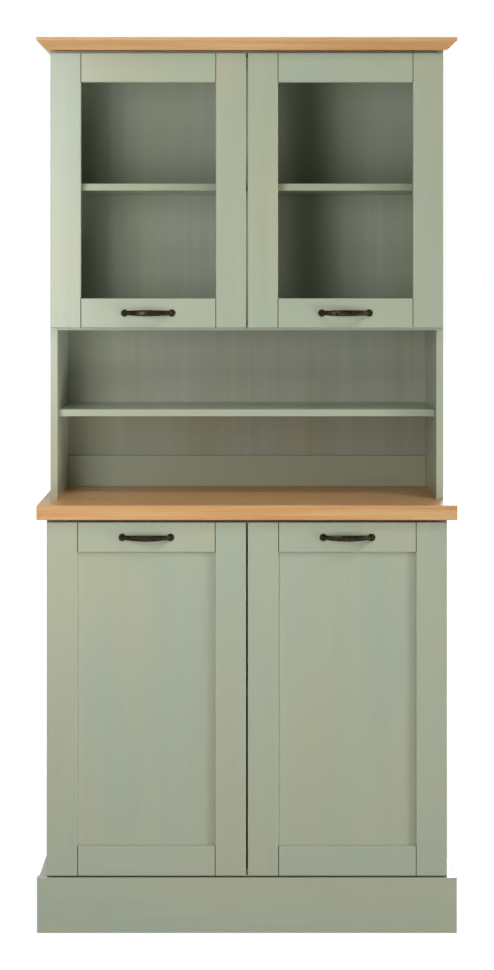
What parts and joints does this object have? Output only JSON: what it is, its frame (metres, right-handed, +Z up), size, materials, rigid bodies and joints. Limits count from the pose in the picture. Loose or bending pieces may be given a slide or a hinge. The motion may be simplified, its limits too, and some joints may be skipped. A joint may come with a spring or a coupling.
{
  "type": "buffet cabinet",
  "caption": "Buffet cabinet with panelled base doors, an oak countertop, an open niche with a shelf, and a hutch with glazed doors under a bevelled oak cornice.",
  "frame": {"origin": "on the floor, in the middle of the overall width and depth", "axes": "+Z up, -Y out of the doors, +X to the right seen from the front"},
  "size_m": [0.956, 0.476, 2.013],
  "materials": {
    "painted_pine": "sage green washed paint over pine grain, satin",
    "oak": "oiled oak, satin",
    "back_board": "thin painted board",
    "beech": "raw beech",
    "glass": "clear float glass",
    "bronze": "antique bronze, dark patina",
    "steel": "nickel plated",
    "bumper": "clear soft plastic"
  },
  "bodies": {
    "cabinet": {"base_side_left": "painted_pine", "base_side_right": "painted_pine", "base_bottom": "painted_pine", "base_stretcher_front": "painted_pine", "base_stretcher_back": "painted_pine", "base_back_panel": "back_board", "base_shelf": "painted_pine", "plinth_front": "painted_pine", "plinth_side_left": "painted_pine", "plinth_side_right": "painted_pine", "countertop": "oak", "hutch_side_left": "painted_pine", "hutch_side_right": "painted_pine", "hutch_bottom": "painted_pine", "hutch_top": "painted_pine", "hutch_back_panel": "back_board", "niche_shelf": "painted_pine", "niche_back_rail": "painted_pine", "upper_shelf": "painted_pine", "cornice": "oak", "hutch_dowels": "beech", "shelf_pins": "steel", "hinge_arms": "steel", "door_bumpers": "bumper"},
    "lower_left_door": {"lower_hinge_stile_left": "painted_pine", "lower_free_stile_left": "painted_pine", "lower_bottom_rail_left": "painted_pine", "lower_top_rail_left": "painted_pine", "lower_panel_left": "painted_pine", "lower_handle_left": "bronze", "lower_hinge_cups_left": "steel"},
    "lower_left_hinge_links": {"lower_hinge_links_left": "steel"},
    "lower_right_door": {"lower_hinge_stile_right": "painted_pine", "lower_free_stile_right": "painted_pine", "lower_bottom_rail_right": "painted_pine", "lower_top_rail_right": "painted_pine", "lower_panel_right": "painted_pine", "lower_handle_right": "bronze", "lower_hinge_cups_right": "steel"},
    "lower_right_hinge_links": {"lower_hinge_links_right": "steel"},
    "upper_left_door": {"upper_hinge_stile_left": "painted_pine", "upper_free_stile_left": "painted_pine", "upper_bottom_rail_left": "painted_pine", "upper_top_rail_left": "painted_pine", "upper_glass_left": "glass", "upper_glazing_beads_left": "painted_pine", "upper_handle_left": "bronze", "upper_hinge_cups_left": "steel"},
    "upper_left_hinge_links": {"upper_hinge_links_left": "steel"},
    "upper_right_door": {"upper_hinge_stile_right": "painted_pine", "upper_free_stile_right": "painted_pine", "upper_bottom_rail_right": "painted_pine", "upper_top_rail_right": "painted_pine", "upper_glass_right": "glass", "upper_glazing_beads_right": "painted_pine", "upper_handle_right": "bronze", "upper_hinge_cups_right": "steel"},
    "upper_right_hinge_links": {"upper_hinge_links_right": "steel"}
  },
  "joints": [
    {"name": "lower_left_hinge_arm_pin", "type": "hinge", "parent": "cabinet", "child": "lower_left_hinge_links", "pos_m": [-0.418, -0.19, 0.52375], "axis": [0, 0, -1], "range_deg": [-26.1, 0]},
    {"name": "lower_left_door_swing", "type": "hinge", "parent": "lower_left_hinge_links", "child": "lower_left_door", "pos_m": [-0.439, -0.198, 0.52375], "axis": [0, 0, -1], "range_deg": [0, 130]},
    {"name": "lower_right_hinge_arm_pin", "type": "hinge", "parent": "cabinet", "child": "lower_right_hinge_links", "pos_m": [0.418, -0.19, 0.52375], "axis": [0, 0, 1], "range_deg": [-26.1, 0]},
    {"name": "lower_right_door_swing", "type": "hinge", "parent": "lower_right_hinge_links", "child": "lower_right_door", "pos_m": [0.439, -0.198, 0.52375], "axis": [0, 0, 1], "range_deg": [0, 130]},
    {"name": "upper_left_hinge_arm_pin", "type": "hinge", "parent": "cabinet", "child": "upper_left_hinge_links", "pos_m": [-0.418, -0.094, 1.6664], "axis": [0, 0, -1], "range_deg": [-26.1, 0]},
    {"name": "upper_left_door_swing", "type": "hinge", "parent": "upper_left_hinge_links", "child": "upper_left_door", "pos_m": [-0.439, -0.102, 1.6664], "axis": [0, 0, -1], "range_deg": [0, 130]},
    {"name": "upper_right_hinge_arm_pin", "type": "hinge", "parent": "cabinet", "child": "upper_right_hinge_links", "pos_m": [0.418, -0.094, 1.6664], "axis": [0, 0, 1], "range_deg": [-26.1, 0]},
    {"name": "upper_right_door_swing", "type": "hinge", "parent": "upper_right_hinge_links", "child": "upper_right_door", "pos_m": [0.439, -0.102, 1.6664], "axis": [0, 0, 1], "range_deg": [0, 130]}
  ],
  "couplings": [
    {"joint": "lower_left_hinge_arm_pin", "follows": "lower_left_door_swing", "ratio": -0.2},
    {"joint": "lower_right_hinge_arm_pin", "follows": "lower_right_door_swing", "ratio": -0.2},
    {"joint": "upper_left_hinge_arm_pin", "follows": "upper_left_door_swing", "ratio": -0.2},
    {"joint": "upper_right_hinge_arm_pin", "follows": "upper_right_door_swing", "ratio": -0.2}
  ]
}
